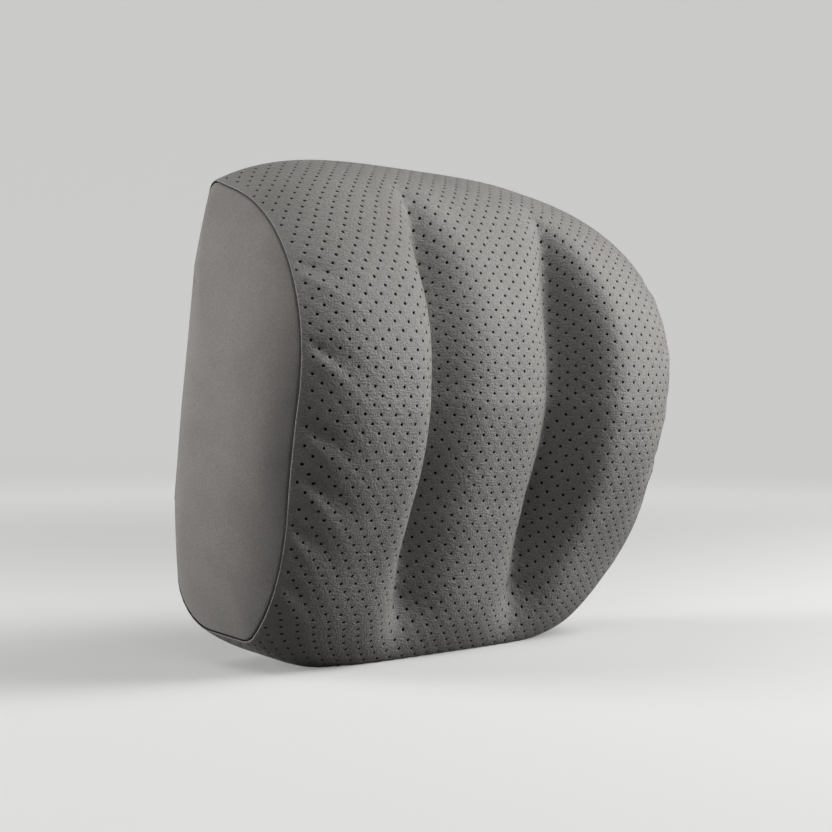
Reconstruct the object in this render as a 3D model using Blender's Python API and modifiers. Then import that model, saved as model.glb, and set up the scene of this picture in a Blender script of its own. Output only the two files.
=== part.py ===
"""Car neck pillow: a foam block in a sewn cover, standing on its base.

The pillow faces -Y, its width runs along X and +Z is up. The origin is in the
middle of the flat base. All lengths are in metres.
"""

import math

import bmesh
import bpy
from mathutils import Matrix, Vector

# Overall size
HALF_WIDTH = 0.1220       # middle of the pillow to a side seam, at the widest height
WIDE_HEIGHT = 0.1339      # height at which the pillow is widest
WIDTH_BOW = 0.0109        # how far a side seam pulls in at the bow's span above or below that
BOW_SPAN = 0.1000

# Corners of the side outline: distance back from the origin, height, corner radius
BACK_BOTTOM = (0.0373, 0.0261, 0.0195)
BACK_TOP = (0.0094, 0.2204, 0.0035)
FRONT_TOP = (-0.0720, 0.1911, 0.0770)
FRONT_LOW = (-0.0389, 0.0470, 0.1080)
FRONT_CORNER = (-0.0064, 0.0215, 0.0050)

# How far the stuffed cover rises above the side outline, half way across
TOP_CROWN = 0.0162
BOTTOM_CROWN = 0.0188
FRONT_CROWN = 0.0110
BACK_CROWN = 0.0030
WRAP_FULLNESS = 4.3       # higher keeps the top and bottom level closer to the side seams
BASE_FULLNESS = 1.2       # lower fills out the edges of the base more
BACK_FLAT_MARGIN = 0.0040 # how far the flat middle of the back runs past the zip's ends
BASE_FLAT = 0.0076        # depth of the underside pressed flat by the pillow's weight

# The two upright valleys that part the front into three lobes
VALLEY_X = 0.0418         # middle of the pillow to a valley
CREST_X = 0.0753          # middle of the pillow to the top of a side lobe
VALLEY_DEPTH = 0.0232     # below the top of a side lobe
MIDDLE_DROP = 0.0098      # top of the middle lobe below the top of a side lobe
VALLEY_FILLET = 0.05      # softens the bottom of a valley, as a share of a lobe's half width
LOBE_ROUND = 2.26         # higher makes the lobes rounder and the valleys tighter
VALLEY_TOP = (0.44, 0.84) # how far the top must face forward for a valley to start, and be full
VALLEY_FOOT = 0.0140      # height above the front corner over which a valley fades out
SEAM_TUCK = 2.29          # higher draws the front in more sharply at the side seams

# Gathers where the front is sewn to the side panels
GATHER_DEPTH = 0.0013
GATHER_REACH = 0.0160     # how far a gather runs in from the seam
GATHER_PITCH = 0.0290
GATHER_SWELL = 0.0780     # length over which the gathers grow and shrink

# Layers
COVER_THICK = 0.0021      # perforated cover with its backing
SIDE_THICK = 0.0015
SIDE_DOME = 0.0090        # how far a side panel bulges out
SIDE_RECESS = 0.0010      # side panel's edge behind the cover's edge
BACK_THICK = 0.0012
FIT_GAP = 0.0003          # between pieces that touch
SLOPE_ROOM = 0.0003       # extra room for a layer on a slope

# Zip across the lower back, measured up the back from the bottom corner
ZIP_HEIGHT = 0.0560
ZIP_END_ROOM = 0.0270     # from each end of the zip to the side seam
ZIP_OPENING = 0.0066      # between the edges of the two back panels
TAPE_WIDTH = 0.0120
TAPE_THICK = 0.0006
COIL_WIDTH = 0.0024
COIL_THICK = 0.0012
COIL_GAP = 0.0012         # between the two rows of the coil, for the slider's post
ZIP_ROOM = 0.0005         # between the slider's lower plate and the foam pressed in behind it
ZIP_RELIEF_SLOPE = 0.0030

SLIDER_LENGTH = 0.0110
SLIDER_WIDTH = 0.0084
PLATE_THICK = 0.0010
POST_LENGTH = 0.0030
POST_WIDTH = 0.0006
BAIL_LENGTH = 0.0080
BAIL_WIDTH = 0.0016
BAIL_THICK = 0.0009
PULL_PIN = 0.0010         # thickness of the pull's bar under the bail
PULL_LENGTH = 0.0240
PULL_WIDTH = 0.0064
PULL_THICK = 0.0009
PULL_WINDOW = 0.0095      # length of the opening that passes around the bail
STOP_LENGTH = 0.0020

# Elastic strap across the upper back, measured up the back from the bottom corner
STRAP_HEIGHT = 0.1300
STRAP_WIDTH = 0.0380
STRAP_THICK = 0.0014

# Mesh fineness
CORNER_STEPS = 6
DOME_RINGS = 4
STEP_LENGTH = 0.0125      # along the straight sides of the outline
LOBE_STEPS = 6            # from the middle of the pillow to a valley
CREST_SHARES = (0.12, 0.28, 0.5, 0.75, 1.0)   # from a valley to the top of a side lobe
SEAM_SHARES = (0.3, 0.55, 0.75, 0.9, 1.0)     # from there to the side seam

# Colours
LEATHER = (0.150, 0.132, 0.120)
SUEDE = (0.120, 0.100, 0.088)
FOAM = (0.78, 0.74, 0.62)
KNIT = (0.045, 0.042, 0.040)
ZIP_TAPE = (0.035, 0.033, 0.032)
NYLON = (0.050, 0.048, 0.046)
METAL = (0.30, 0.29, 0.28)
ELASTIC = (0.025, 0.024, 0.024)


def clear_scene():
    for item in list(bpy.data.objects):
        bpy.data.objects.remove(item, do_unlink=True)


def make_collection(name):
    group = bpy.data.collections.new(name)
    bpy.context.scene.collection.children.link(group)
    return group


def make_material(name, colour, roughness, metallic=0.0):
    material = bpy.data.materials.new(name)
    material.use_nodes = True
    shader = material.node_tree.nodes["Principled BSDF"]
    shader.inputs["Base Color"].default_value = (*colour, 1.0)
    shader.inputs["Roughness"].default_value = roughness
    shader.inputs["Metallic"].default_value = metallic
    return material


def clamp(value):
    return min(max(value, 0.0), 1.0)


# The side outline is a polygon with rounded corners. Each point keeps the
# direction that faces out of the pillow, in depth and height.

def corner_arc(before, corner, after):
    """Points and outward directions around one rounded corner."""
    centre_point = Vector(corner[:2])
    to_before = (Vector(before[:2]) - centre_point).normalized()
    to_after = (Vector(after[:2]) - centre_point).normalized()
    half_angle = to_before.angle(to_after) / 2
    inward = (to_before + to_after).normalized()
    middle = centre_point + inward * corner[2] / math.sin(half_angle)
    sweep = math.pi - 2 * half_angle
    start = -inward
    points = []
    for step in range(CORNER_STEPS + 1):
        turn = sweep * (step / CORNER_STEPS - 0.5)
        facing = Matrix.Rotation(turn, 2) @ start
        points.append((middle + facing * corner[2], facing))
    return points


def straight_run(start, end, stops):
    """Points between two corners, at the given shares of the way."""
    run = []
    for share in stops:
        point = start[0].lerp(end[0], share)
        facing = start[1].lerp(end[1], share).normalized()
        run.append((point, facing))
    return run


def even_stops(start, end):
    count = max(1, round((end[0] - start[0]).length / STEP_LENGTH))
    return [step / count for step in range(1, count)]


def zip_half():
    """Half the length of the zip."""
    return HALF_WIDTH - ZIP_END_ROOM


def back_directions():
    """The ways up the back and out of it, in depth and height."""
    upward = (Vector(BACK_TOP[:2]) - Vector(BACK_BOTTOM[:2])).normalized()
    return upward, Vector((upward.y, -upward.x))


def back_stops(start, end):
    """Shares of the back's straight part at which the rows of its pieces lie."""
    low = (start[0] - Vector(BACK_BOTTOM[:2])).length
    span = (end[0] - start[0]).length
    half_opening = ZIP_OPENING / 2
    half_relief = half_opening + TAPE_WIDTH
    rows = [
        ZIP_HEIGHT - half_relief - ZIP_RELIEF_SLOPE,
        ZIP_HEIGHT - half_relief,
        ZIP_HEIGHT - half_opening,
        ZIP_HEIGHT + half_opening,
        ZIP_HEIGHT + half_relief,
        ZIP_HEIGHT + half_relief + ZIP_RELIEF_SLOPE,
        STRAP_HEIGHT - STRAP_WIDTH / 2,
        STRAP_HEIGHT + STRAP_WIDTH / 2,
    ]
    return [(row - low) / span for row in rows]


def side_outline():
    """The whole side outline from the back's hem upward, and where the back ends."""
    corners = [BACK_BOTTOM, BACK_TOP, FRONT_TOP, FRONT_LOW, FRONT_CORNER]
    arcs = []
    for index, corner in enumerate(corners):
        after = corners[(index + 1) % len(corners)]
        arcs.append(corner_arc(corners[index - 1], corner, after))
    # The corners run up the back and then down the front, so the arcs follow on.
    outline = [arcs[0][-1]]
    outline += straight_run(arcs[0][-1], arcs[1][0], back_stops(arcs[0][-1], arcs[1][0]))
    back_end = len(outline)
    for index in range(1, len(arcs)):
        outline += arcs[index]
        following = arcs[(index + 1) % len(arcs)]
        stops = even_stops(arcs[index][-1], following[0])
        outline += straight_run(arcs[index][-1], following[0], stops)
    outline += arcs[0][:-1]
    return outline, back_end


# The stuffed surface: the side outline, pushed outward by the crown and in by
# the two valleys.

def seam_x(height):
    """Distance from the middle of the pillow to a side seam at this height."""
    away = (height - WIDE_HEIGHT) / BOW_SPAN
    return HALF_WIDTH - WIDTH_BOW * away * away


def ease(share):
    share = clamp(share)
    return share * share * (3 - 2 * share)


def lobe_rise(share):
    """Rise from a valley (0) to the top of a lobe (1), round on top."""
    softened = math.hypot(clamp(share), VALLEY_FILLET) - VALLEY_FILLET
    full = math.hypot(1.0, VALLEY_FILLET) - VALLEY_FILLET
    return 1 - (1 - softened / full) ** LOBE_ROUND


def valley_drop(across):
    """How far the front lies below the tops of the side lobes."""
    if across < VALLEY_X:
        rise = lobe_rise((VALLEY_X - across) / VALLEY_X)
        return VALLEY_DEPTH - (VALLEY_DEPTH - MIDDLE_DROP) * rise
    return VALLEY_DEPTH * (1 - lobe_rise((across - VALLEY_X) / (CREST_X - VALLEY_X)))


def valley_share(point, facing):
    """How much of the valleys' depth is left here: none on the top, back and base."""
    upward, outward = back_directions()
    forward = max(-facing.dot(outward), 0.0)
    if facing.dot(upward) > 0:
        start, full = VALLEY_TOP
        return ease((forward - start) / (full - start))
    return forward * ease((point.y - FRONT_CORNER[1]) / VALLEY_FOOT)


def gather(across, height):
    """Small folds that the side seam draws into the front."""
    reach = clamp(1 - (HALF_WIDTH - across) / GATHER_REACH)
    beat = math.sin(math.tau * height / GATHER_PITCH)
    swell = math.sin(math.tau * height / GATHER_SWELL + 1.0)
    return GATHER_DEPTH * reach * (1 - reach) * (2.0 + 1.2 * beat + 0.8 * swell)


def crown(across, point, facing):
    """How far the cover stands off the side outline, across the pillow."""
    upward, outward = back_directions()
    back = max(facing.dot(outward), 0.0) ** 2
    front = max(-facing.dot(outward), 0.0) ** 2
    top = max(facing.dot(upward), 0.0) ** 2
    bottom = max(-facing.dot(upward), 0.0) ** BASE_FULLNESS
    wrap = 1 - (across / HALF_WIDTH) ** WRAP_FULLNESS
    tuck = 1 - (1 - clamp((HALF_WIDTH - across) / (HALF_WIDTH - CREST_X))) ** SEAM_TUCK
    flat_end = zip_half() + BACK_FLAT_MARGIN
    flat = 1 - clamp((across - flat_end) / (HALF_WIDTH - flat_end)) ** 2
    rise = (TOP_CROWN * top + BOTTOM_CROWN * bottom) * wrap
    rise += FRONT_CROWN * front * tuck + BACK_CROWN * back * flat
    rise -= valley_share(point, facing) * valley_drop(across)
    return rise - front * gather(across, point.y)


def surface_point(across, point, facing, sink=0.0):
    """A point on the cover, or a layer that lies this deep under it."""
    offset = point + facing * (crown(abs(across), point, facing) - sink)
    x = across / HALF_WIDTH * seam_x(point.y)
    return Vector((x, offset.x, max(offset.y - BASE_FLAT, sink)))


def x_stations():
    """Places across the pillow, closer together at the valleys and the seams."""
    inner = [VALLEY_X * step / LOBE_STEPS for step in range(LOBE_STEPS + 1)]
    middle = [VALLEY_X + (CREST_X - VALLEY_X) * share for share in CREST_SHARES]
    outer = [CREST_X + (HALF_WIDTH - CREST_X) * share for share in SEAM_SHARES]
    half = inner + middle + outer
    return [-x for x in reversed(half[1:])] + half


def patch(bm, outline, stations, sink=0.0):
    """A grid over part of the outline, with its faces out; gives its rows."""
    rows = []
    for point, facing in outline:
        rows.append([bm.verts.new(surface_point(x, point, facing, sink)) for x in stations])
    return rows


def skin(bm, rows, closed=False):
    """Faces between neighbouring rows, facing out of the pillow."""
    pairs = list(zip(rows, rows[1:]))
    if closed:
        pairs.append((rows[-1], rows[0]))
    for lower, upper in pairs:
        for index in range(len(lower) - 1):
            corners = (lower[index], upper[index], upper[index + 1], lower[index + 1])
            bm.faces.new(corners)


def add_object(group, name, bm, material, smooth=True):
    mesh = bpy.data.meshes.new(name)
    bm.to_mesh(mesh)
    bm.free()
    if smooth:
        mesh.shade_smooth()
    mesh.materials.append(material)
    item = bpy.data.objects.new(name, mesh)
    group.objects.link(item)
    return item


def add_solidify(item, thickness):
    """Gives an open surface its thickness, on its inner side."""
    layer = item.modifiers.new("Thickness", "SOLIDIFY")
    layer.thickness = thickness
    layer.offset = -1.0
    layer.use_even_offset = True


# Foam and sewn panels

def tape_depth():
    """How deep the zip's tapes lie, under both the coil and the back panels."""
    return max(COIL_THICK, BACK_THICK) + FIT_GAP


def foam_depth():
    """How deep the foam lies, under both the cover and the zip's tapes."""
    return max(COVER_THICK, tape_depth() + TAPE_THICK) + FIT_GAP


def hem_rows(start, end, heights):
    """Outline points on the straight back at these heights up the back."""
    low = (start[0] - Vector(BACK_BOTTOM[:2])).length
    span = (end[0] - start[0]).length
    return straight_run(start, end, [(height - low) / span for height in heights])


def back_span(outline, back_end):
    """Heights up the back at which the cover's two hems lie."""
    corner = Vector(BACK_BOTTOM[:2])
    return (outline[0][0] - corner).length, (outline[back_end][0] - corner).length


def end_ring(outline, inset, recess, side):
    """A ring of points just inside one end of the cover."""
    ring = []
    for point, facing in outline:
        spot = surface_point(HALF_WIDTH, point, facing, inset)
        ring.append(Vector((side * (seam_x(point.y) - recess), spot.y, spot.z)))
    return ring


def dome(bm, ring, side, recess):
    """Closes a ring of vertices with a dome that bulges out of the pillow's side."""
    centre = sum((vert.co for vert in ring), Vector()) / len(ring)
    outer = ring
    for step in range(1, DOME_RINGS):
        share = 1 - step / DOME_RINGS
        inner = []
        for vert in ring:
            spot = centre.lerp(vert.co, share)
            bulge = seam_x(spot.z + BASE_FLAT) - recess + SIDE_DOME * (1 - share * share)
            inner.append(bm.verts.new((side * bulge, spot.y, spot.z)))
        for index in range(len(ring)):
            after = (index + 1) % len(ring)
            bm.faces.new((outer[index], outer[after], inner[after], inner[index]))
        outer = inner
    tip_x = side * (seam_x(centre.z + BASE_FLAT) - recess + SIDE_DOME)
    tip = bm.verts.new((tip_x, centre.y, centre.z))
    for index in range(len(ring)):
        bm.faces.new((outer[index], outer[(index + 1) % len(ring)], tip))


def make_foam(group, outline, material):
    """One block of foam that fills the cover, with a hollow behind the zip."""
    bm = bmesh.new()
    rows = patch(bm, outline, x_stations())
    skin(bm, rows, closed=True)
    bm.normal_update()
    for row in rows:
        for vert in row:
            vert.co -= vert.normal * vert.calc_shell_factor() * foam_depth()
    _, outward = back_directions()
    relief = Vector((0.0, outward.x, outward.y)) * (PLATE_THICK + ZIP_ROOM)
    for row in rows[2:6]:
        for vert in row:
            vert.co -= relief
    recess = SIDE_RECESS + SIDE_THICK + FIT_GAP + 2 * SLOPE_ROOM
    for side, column in ((-1, 0), (1, -1)):
        ring = [row[column] for row in rows]
        for vert, (point, _) in zip(ring, outline):
            vert.co.x = side * (seam_x(point.y) - recess)
        dome(bm, ring, side, recess)
    bmesh.ops.recalc_face_normals(bm, faces=bm.faces)
    return add_object(group, "foam_core", bm, material)


def make_cover(group, outline, back_end, material):
    """Perforated cover, one piece from the top hem over the front to the bottom hem."""
    bm = bmesh.new()
    skin(bm, patch(bm, outline[back_end:] + outline[:1], x_stations()))
    add_solidify(add_object(group, "front_cover", bm, material), COVER_THICK)


def make_side_panel(group, name, outline, side, material):
    inset = COVER_THICK + FIT_GAP + SLOPE_ROOM
    bm = bmesh.new()
    ring = [bm.verts.new(spot) for spot in end_ring(outline, inset, SIDE_RECESS, side)]
    dome(bm, ring, side, SIDE_RECESS)
    if side < 0:
        bmesh.ops.reverse_faces(bm, faces=bm.faces)
    add_solidify(add_object(group, name, bm, material), SIDE_THICK)


def make_back_sheet(group, name, outline, back_end, heights, stand_off, thickness, material):
    """A sheet over the back between two heights, from seam to seam."""
    rows = hem_rows(outline[0], outline[back_end], heights)
    bm = bmesh.new()
    skin(bm, patch(bm, rows, x_stations(), -stand_off))
    add_solidify(add_object(group, name, bm, material), thickness)


# Small straight parts on the back. They are modelled as seen from behind:
# X to the right, Y up the back, Z out of the back, with Z = 0 on the back panels.

def back_frame(height_up, across=0.0, stand_off=0.0):
    upward, outward = back_directions()
    spot = Vector(BACK_BOTTOM[:2]) + upward * height_up + outward * (BACK_CROWN + stand_off)
    frame = Matrix((
        (-1.0, 0.0, 0.0, -across),
        (0.0, upward.x, outward.x, spot.x),
        (0.0, upward.y, outward.y, spot.y - BASE_FLAT),
        (0.0, 0.0, 0.0, 1.0),
    ))
    return frame


def box_mesh(x_range, y_range, z_range):
    bm = bmesh.new()
    bmesh.ops.create_cube(bm, size=1.0)
    size = Vector((x_range[1] - x_range[0], y_range[1] - y_range[0], z_range[1] - z_range[0]))
    middle = Vector((sum(x_range) / 2, sum(y_range) / 2, sum(z_range) / 2))
    bmesh.ops.scale(bm, vec=size, verts=bm.verts)
    bmesh.ops.translate(bm, vec=middle, verts=bm.verts)
    return bm


def add_box(group, name, frame, ranges, material):
    item = add_object(group, name, box_mesh(*ranges), material, smooth=False)
    item.matrix_world = frame
    return item


def add_boolean(item, cutters, frame, name, ranges, operation):
    cutter = add_box(cutters, name, frame, ranges, item.data.materials[0])
    cutter.hide_render = True
    cutter.display_type = "WIRE"
    cut = item.modifiers.new(name, "BOOLEAN")
    cut.operation = operation
    cut.object = cutter
    return cut


def make_coil(group, material):
    """The two rows of teeth, level with the back panels."""
    frame = back_frame(ZIP_HEIGHT)
    along = (-zip_half(), zip_half())
    inner = COIL_GAP / 2
    outer = inner + COIL_WIDTH
    for name, rows in (("zip_coil_lower", (-outer, -inner)), ("zip_coil_upper", (inner, outer))):
        add_box(group, name, frame, (along, rows, (-COIL_THICK, 0.0)), material)


def make_zip_stops(group, metal):
    """The crimps that end the slider's run: one across both rows, then one on each."""
    frame = back_frame(ZIP_HEIGHT)
    low = COIL_GAP / 2
    high = low + COIL_WIDTH
    base = FIT_GAP
    top = base + PLATE_THICK / 2
    first = (-zip_half(), STOP_LENGTH - zip_half())
    last = (zip_half() - STOP_LENGTH, zip_half())
    add_box(group, "zip_bottom_stop", frame, (first, (-high, high), (base, top)), metal)
    add_box(group, "zip_top_stop_lower", frame, (last, (-high, -low), (base, top)), metal)
    add_box(group, "zip_top_stop_upper", frame, (last, (low, high), (base, top)), metal)


def slider_rest():
    """The slider's middle when the zip is closed, to the right as seen from behind."""
    return zip_half() - STOP_LENGTH - FIT_GAP - SLIDER_LENGTH / 2


def make_slider(group, cutters, metal):
    """Two plates joined by a post between the rows of the coil, with a bail on top."""
    frame = back_frame(ZIP_HEIGHT, slider_rest())
    half_length = SLIDER_LENGTH / 2
    half_width = SLIDER_WIDTH / 2
    top_base = FIT_GAP
    top = top_base + PLATE_THICK
    low_top = -tape_depth() - TAPE_THICK - FIT_GAP
    low = low_top - PLATE_THICK
    plate = ((-half_length, half_length), (-half_width, half_width))
    slider = add_box(group, "zip_slider", frame, (*plate, (top_base, top)), metal)
    bail_under = top + PULL_PIN + 2 * FIT_GAP
    half_bail = BAIL_LENGTH / 2
    across = (-BAIL_WIDTH / 2, BAIL_WIDTH / 2)
    joined = (
        ("slider_lower_plate", (*plate, (low, low_top))),
        ("slider_post", ((half_length - POST_LENGTH, half_length), (-POST_WIDTH / 2, POST_WIDTH / 2),
                         (low_top - PLATE_THICK / 2, top_base + PLATE_THICK / 2))),
        ("slider_bail_left", ((-half_bail, BAIL_THICK - half_bail), across,
                              (top_base + PLATE_THICK / 2, bail_under + BAIL_THICK / 2))),
        ("slider_bail_right", ((half_bail - BAIL_THICK, half_bail), across,
                               (top_base + PLATE_THICK / 2, bail_under + BAIL_THICK / 2))),
        ("slider_bail_bar", ((-half_bail, half_bail), across, (bail_under, bail_under + BAIL_THICK))),
    )
    for name, ranges in joined:
        add_boolean(slider, cutters, frame, name, ranges, "UNION")
    return slider


def make_pull(group, cutters, metal):
    """A flat tab with a window around the bail. It turns on the bar at its end."""
    pivot = FIT_GAP + PLATE_THICK + FIT_GAP + PULL_PIN / 2
    frame = back_frame(ZIP_HEIGHT, slider_rest(), pivot)
    half_pin = PULL_PIN / 2
    half_width = PULL_WIDTH / 2
    half_thick = PULL_THICK / 2
    body = ((half_pin - PULL_LENGTH, half_pin), (-half_width, half_width), (-half_thick, half_thick))
    pull = add_box(group, "zip_pull", frame, body, metal)
    arm = (half_width - BAIL_WIDTH / 2 - 2 * FIT_GAP) / 2 + FIT_GAP
    window = ((-half_pin - PULL_WINDOW, -half_pin), (-half_width + arm, half_width - arm),
              (-PULL_THICK, PULL_THICK))
    add_boolean(pull, cutters, frame, "pull_window", window, "DIFFERENCE")
    return pull


def build():
    clear_scene()
    group = make_collection("car_neck_pillow")
    cutters = make_collection("cutters")
    leather = make_material("perforated_synthetic_leather", LEATHER, 0.55)
    suede = make_material("suede_fabric", SUEDE, 0.9)
    foam = make_material("foam", FOAM, 0.95)
    knit = make_material("knitted_backing", KNIT, 0.9)
    tape = make_material("zip_tape", ZIP_TAPE, 0.85)
    nylon = make_material("nylon_coil", NYLON, 0.4)
    metal = make_material("zip_metal", METAL, 0.35, 0.9)
    elastic = make_material("elastic_strap", ELASTIC, 0.85)

    outline, back_end = side_outline()
    low_hem, high_hem = back_span(outline, back_end)
    make_foam(group, outline, foam)
    make_cover(group, outline, back_end, leather)
    make_side_panel(group, "left_side_panel", outline, -1, suede)
    make_side_panel(group, "right_side_panel", outline, 1, suede)

    under_zip = ZIP_HEIGHT - ZIP_OPENING / 2
    over_zip = ZIP_HEIGHT + ZIP_OPENING / 2
    make_back_sheet(group, "back_panel_lower", outline, back_end,
                    (low_hem + FIT_GAP, under_zip), 0.0, BACK_THICK, knit)
    make_back_sheet(group, "back_panel_upper", outline, back_end,
                    (over_zip, STRAP_HEIGHT, high_hem - FIT_GAP), 0.0, BACK_THICK, knit)
    make_back_sheet(group, "headrest_strap", outline, back_end,
                    (STRAP_HEIGHT - STRAP_WIDTH / 2, STRAP_HEIGHT + STRAP_WIDTH / 2),
                    FIT_GAP + STRAP_THICK, STRAP_THICK, elastic)

    inner = COIL_GAP / 2
    outer = ZIP_OPENING / 2 + TAPE_WIDTH
    make_back_sheet(group, "zip_tape_lower", outline, back_end,
                    (ZIP_HEIGHT - outer, ZIP_HEIGHT - inner), -tape_depth(), TAPE_THICK, tape)
    make_back_sheet(group, "zip_tape_upper", outline, back_end,
                    (ZIP_HEIGHT + inner, ZIP_HEIGHT + outer), -tape_depth(), TAPE_THICK, tape)
    make_coil(group, nylon)
    make_zip_stops(group, metal)
    make_slider(group, cutters, metal)
    make_pull(group, cutters, metal)


build()
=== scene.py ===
"""Looks of the car neck pillow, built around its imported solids.

The pillow faces -Y, its width runs along X and it stands on Z = 0. Lengths are in metres.
"""

import math

import bmesh
import bpy
import numpy as np
from mathutils import Matrix, Vector


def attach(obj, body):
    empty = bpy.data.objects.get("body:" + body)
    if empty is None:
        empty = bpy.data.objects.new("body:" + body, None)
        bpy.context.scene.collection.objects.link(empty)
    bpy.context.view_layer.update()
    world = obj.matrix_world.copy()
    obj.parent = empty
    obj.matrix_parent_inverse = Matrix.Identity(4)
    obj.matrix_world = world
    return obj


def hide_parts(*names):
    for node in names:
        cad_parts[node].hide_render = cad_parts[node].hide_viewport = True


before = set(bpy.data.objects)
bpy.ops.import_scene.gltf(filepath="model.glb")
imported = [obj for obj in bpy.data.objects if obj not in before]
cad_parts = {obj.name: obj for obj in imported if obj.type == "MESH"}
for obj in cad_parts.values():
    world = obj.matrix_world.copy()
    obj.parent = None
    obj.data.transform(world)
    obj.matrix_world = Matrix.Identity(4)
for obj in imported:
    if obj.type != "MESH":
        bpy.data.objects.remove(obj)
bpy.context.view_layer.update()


# Front cover. One sheet of synthetic leather, punched all over while it is flat. It is pulled
# from the hem at the top of the back over the top, front and base to the lower hem, and sewn
# along both sides with its edges turned in.

HALF_WIDTH = 0.122
WIDE_HEIGHT = 0.1339
WIDTH_BOW = 0.0109
BOW_SPAN = 0.1
BACK_HALF_WIDTH = 0.1194  # the side seams bow no wider than this at the back
BACK_BLEND = 0.055  # how far in front of the back they bow in full

# Corners of the side outline: distance back from the origin, height, corner radius
BACK_BOTTOM = (0.0373, 0.0261, 0.0195)
BACK_TOP = (0.0094, 0.2204, 0.0035)
FRONT_TOP = (-0.072, 0.1911, 0.077)
FRONT_LOW = (-0.0389, 0.047, 0.1)
FRONT_CORNER = (-0.0088, 0.021, 0.012)

# How far the cover stands off the outline on each side, and how full it is across
TOP_CROWN = 0.0162
BOTTOM_CROWN = 0.0188
FRONT_CROWN = 0.0142
BACK_CROWN = 0.003
WRAP_FULLNESS = 3.6
BASE_FULLNESS = 1.2
BACK_FLAT = 0.099  # half width over which the back stays flat
BASE_FLAT = 0.0076  # how much of the base is pressed flat on the floor

VALLEY_X = 0.0418
CREST_X = 0.0753
VALLEY_DEPTH = 0.025
MIDDLE_DROP = 0.0105  # how far the middle lobe lies behind the side lobes
VALLEY_FILLET = 0.11  # how soft a valley's bottom is, and how full its lobes are
LOBE_ROUND = 2.9
VALLEY_TOPS = ((0.31, 0.86), (0.4, 0.99))  # of the left and the right valley
VALLEY_FOOT = 0.023  # height over which a valley runs out at the floor
MIDDLE_FOOT = 0.1  # and the middle lobe comes forward
VALLEY_RUNOUT = (0.62, 0.09)  # depth left at the foot of a valley, and height it is lost over
VALLEY_NARROW = 0.45  # how narrow a valley starts, as a share of its full width
SWELLS = ((0.108, 0.002, 0.024), (0.052, -0.0085, 0.026))  # height, rise and reach
SEAM_TUCK = 2.8  # how steeply a side lobe drops to its seam

OUTLINE_STEP = 0.0005  # between the points at which the side outline is worked out
ACROSS_STEPS = 245  # from the middle to a seam, for measuring the sheet
SHEET_STEPS = 400  # the same, evenly spaced over the flat sheet
EASE_REACH = 0.0015  # how far along the outline its turns are eased
EASE_START = 0.015  # from a hem, where the easing begins

# Puckers that the side seams draw into the cover: height, depth, slope, length, all in metres
# but the slope. They open out away from the seam.
PUCKERS_LEFT = (
    (0.179, 0.0015, 0.45, 0.016), (0.148, 0.0018, 0.55, 0.018), (0.116, 0.0016, 0.5, 0.02),
    (0.096, 0.0018, 0.6, 0.022), (0.074, 0.0014, 0.55, 0.019), (0.051, 0.0013, 0.5, 0.017),
)
PUCKERS_RIGHT = (
    (0.183, 0.0014, 0.4, 0.017), (0.156, 0.0017, 0.5, 0.019), (0.129, 0.0015, 0.55, 0.018),
    (0.101, 0.0018, 0.5, 0.021), (0.079, 0.0014, 0.6, 0.018), (0.054, 0.0014, 0.5, 0.017),
)
PUCKER_WIDTH = 0.0018
PUCKER_SPREAD = 0.16  # how fast a pucker widens along its length
PUCKER_START = 2.4  # how fast it deepens from the seam, and how fast it fades
PUCKER_FADE = 1.2
LIP_RISE = 0.45  # the raised lip under a pucker: its rise, how far down it is, and width
LIP_DROP = 1.9
LIP_WIDTH = 1.1

HOLE_PITCH = 0.00775  # between the holes of a row; every other row is moved by half of it
HOLE_RADIUS = 0.00068
HOLE_RIM = 0.00034  # width of the rounded rim around a hole
RIM_DROP = 0.0001
HOLE_DEPTH = 0.0012
HOLE_TAPER = 0.00006
HOLE_MARGIN = 0.0001  # least room between a hole and a turned edge
MERGE_REACH = 0.00004  # points closer than this become one
EDGE_REACH = 0.0001  # how near the trimmed edge a point counts as on it
# Turned edge, in steps: distance in from the seam, and depth
TURNED_EDGE = ((0.0008, 0.0), (0.00045, 0.00004), (0.00018, 0.00016), (0.00004, 0.00036),
               (0.0001, 0.0006), (0.0004, 0.00095), (0.0008, 0.0015), (0.0008, 0.0032))
PAINTED_SHADE_DEPTH = 0.0005  # depth in a seam past which the turned edge takes the near-black painted shade of the seam's crack


def clamp(value):
    return np.clip(value, 0.0, 1.0)


def ease(share):
    share = clamp(share)
    return share * share * (3 - 2 * share)


def corner_arc(before, corner, after):
    """One rounded corner of the outline: its middle, and the angles it faces from and to."""
    point = Vector(corner[:2])
    to_before = (Vector(before[:2]) - point).normalized()
    to_after = (Vector(after[:2]) - point).normalized()
    half_angle = to_before.angle(to_after) / 2
    inward = (to_before + to_after).normalized()
    middle = point + inward * corner[2] / math.sin(half_angle)
    facing = math.atan2(-inward.y, -inward.x)
    sweep = math.pi - 2 * half_angle
    return middle, facing - sweep / 2, facing + sweep / 2


def arc_point(arc, radius, angle):
    return np.array([arc[0].x + radius * math.cos(angle), arc[0].y + radius * math.sin(angle)])


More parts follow.
